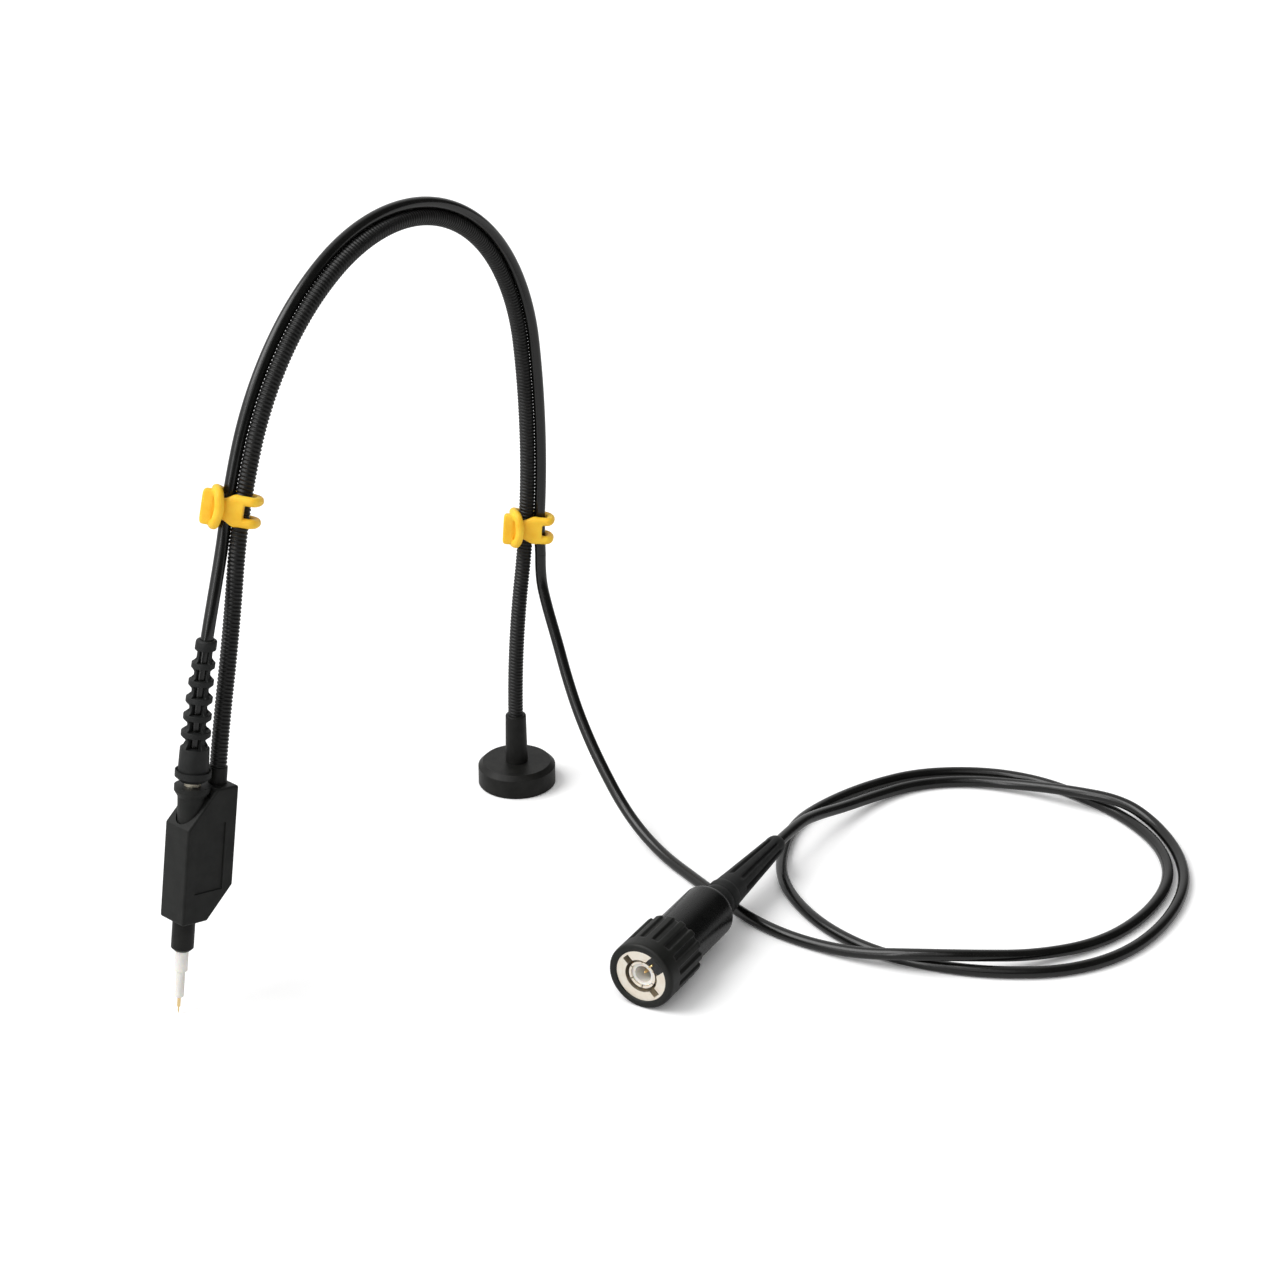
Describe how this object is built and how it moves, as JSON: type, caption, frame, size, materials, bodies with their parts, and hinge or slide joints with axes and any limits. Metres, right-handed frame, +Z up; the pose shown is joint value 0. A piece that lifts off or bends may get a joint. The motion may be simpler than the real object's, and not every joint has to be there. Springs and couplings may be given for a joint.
{
  "type": "hands-free circuit board probe",
  "caption": "hands-free oscilloscope probe on a gooseneck arm with a weighted magnetic foot, angled head with sprung needle, strapped cable and bayonet plug",
  "frame": {"origin": "middle of the foot's underside, on the table", "axes": "+Z up; +X from the foot towards the probe head, in the plane of the gooseneck; +Y to the side that the head's label recess faces"},
  "size_m": [0.2466, 0.2209, 0.201],
  "materials": {
    "foot_metal": "satin black",
    "magnet_nickel": "plated",
    "socket_black": "matte",
    "arm_black": "semi-matte black",
    "tie_silicone": "matte orange silicone",
    "cable_jacket": "semi-matte",
    "housing_plastic": "fine texture",
    "boot_rubber": "matte",
    "contact_gold": "gold plated",
    "insulator_white": "smooth",
    "nickel": "satin nickel",
    "coupling_black": "satin",
    "spring_steel": "bright",
    "board_green": "solder mask",
    "component_dark": "moulded"
  },
  "bodies": {
    "stand": {"base_shell": "foot_metal", "base_magnet": "magnet_nickel", "neck_socket": "socket_black", "neck_lower": "arm_black", "cable_clip_lower": "tie_silicone", "cable_lower": "cable_jacket", "cable_free": "cable_jacket", "plug_core": "nickel", "plug_body": "coupling_black", "plug_outer_contact": "nickel", "plug_insulator": "insulator_white", "plug_pin": "contact_gold", "wave_washer": "spring_steel", "retaining_ring": "spring_steel", "plug_board": "board_green", "plug_trimmer": "component_dark", "plug_clamp": "nickel", "plug_boot": "boot_rubber"},
    "arm_rear": {"neck_rear": "arm_black", "cable_rear": "cable_jacket"},
    "arm_front": {"neck_front": "arm_black", "cable_front": "cable_jacket"},
    "probe": {"neck_tip": "arm_black", "cable_clip_upper": "tie_silicone", "cable_tip": "cable_jacket", "neck_ferrule": "socket_black", "housing_body": "housing_plastic", "housing_cover": "housing_plastic", "cable_socket": "housing_plastic", "cable_contact": "contact_gold", "cable_grip": "boot_rubber", "cable_boot": "boot_rubber", "nose_collar": "housing_plastic", "tip_insulator": "insulator_white", "needle_barrel": "contact_gold", "needle_spring": "spring_steel", "input_board": "board_green", "input_resistor": "component_dark", "input_capacitor": "component_dark"},
    "needle": {"needle_plunger": "contact_gold"},
    "coupling": {"coupling_shell": "coupling_black", "bayonet_ring": "nickel", "readout_block": "component_dark", "readout_pin": "contact_gold"}
  },
  "joints": [
    {"name": "neck_lean", "type": "hinge", "parent": "stand", "child": "arm_rear", "pos_m": [-0.00901, 0, 0.11167], "axis": [-0.5446, 0.8387, 0.0057], "range_deg": [-20, 20]},
    {"name": "neck_swing", "type": "hinge", "parent": "arm_rear", "child": "arm_front", "pos_m": [0.05026, 0, 0.19525], "axis": [-0.0236, -0.2588, 0.9656], "range_deg": [-30, 30]},
    {"name": "neck_bend", "type": "hinge", "parent": "arm_front", "child": "probe", "pos_m": [0.11604, 0, 0.15015], "axis": [0.4443, -0.8746, 0.1941], "range_deg": [-25, 25]},
    {"name": "needle_press", "type": "slide", "parent": "probe", "child": "needle", "axis": [-0.1908, 0, 0.9816], "range_m": [0, 0.0015], "stiffness_N_per_m": 200, "springref_m": -0.001, "deforming": ["needle_spring"]},
    {"name": "coupling_turn", "type": "hinge", "parent": "stand", "child": "coupling", "pos_m": [0.089, 0.1029, 0.00985], "axis": [0.998, 0.0637, 0], "range_deg": [-45, 45]}
  ]
}
